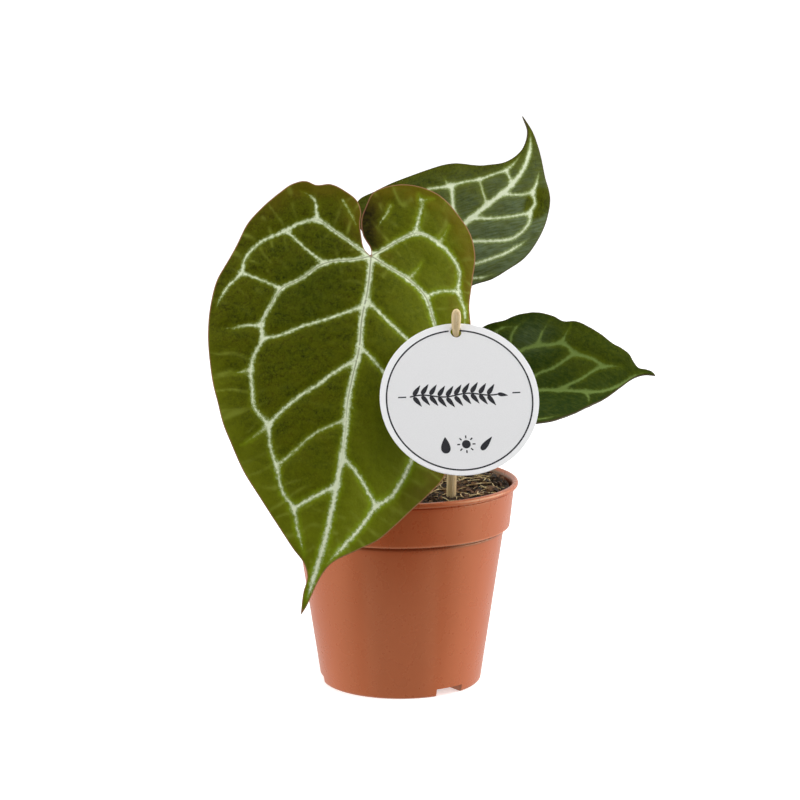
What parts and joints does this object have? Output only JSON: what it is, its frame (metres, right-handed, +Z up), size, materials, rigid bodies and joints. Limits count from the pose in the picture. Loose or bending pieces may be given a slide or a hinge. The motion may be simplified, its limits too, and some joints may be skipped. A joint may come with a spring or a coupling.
{
  "type": "potted crystal anthurium",
  "caption": "Potted foliage plant with heart-shaped, pale-veined leaves on slender stalks, in a tapered nursery pot with a round card label on a stick.",
  "frame": {"origin": "centre of the pot's flat underside", "axes": "+Z up along the pot's axis, -Y towards the side that the picture shows, +X to the right as seen from there"},
  "size_m": [0.224, 0.161, 0.2839],
  "materials": {
    "terracotta_plastic": "satin moulded plastic, terracotta colour",
    "potting_mix": "loose bark, peat and straw fibres",
    "crown_skin": "rough papery skin",
    "stalk_green": "smooth, slightly waxy",
    "leaf_green": "velvety dark green with a pale net of veins",
    "pale_wood": "bare bamboo",
    "card_white": "matt white card with a thin printed ring"
  },
  "bodies": {
    "root": {"pot": "terracotta_plastic", "soil": "potting_mix", "crown": "crown_skin", "stalk_front": "stalk_green", "stalk_back": "stalk_green", "stalk_right": "stalk_green", "leaf_front": "leaf_green", "leaf_back": "leaf_green", "leaf_right": "leaf_green", "tag_stick": "pale_wood", "tag_card": "card_white"}
  },
  "joints": []
}
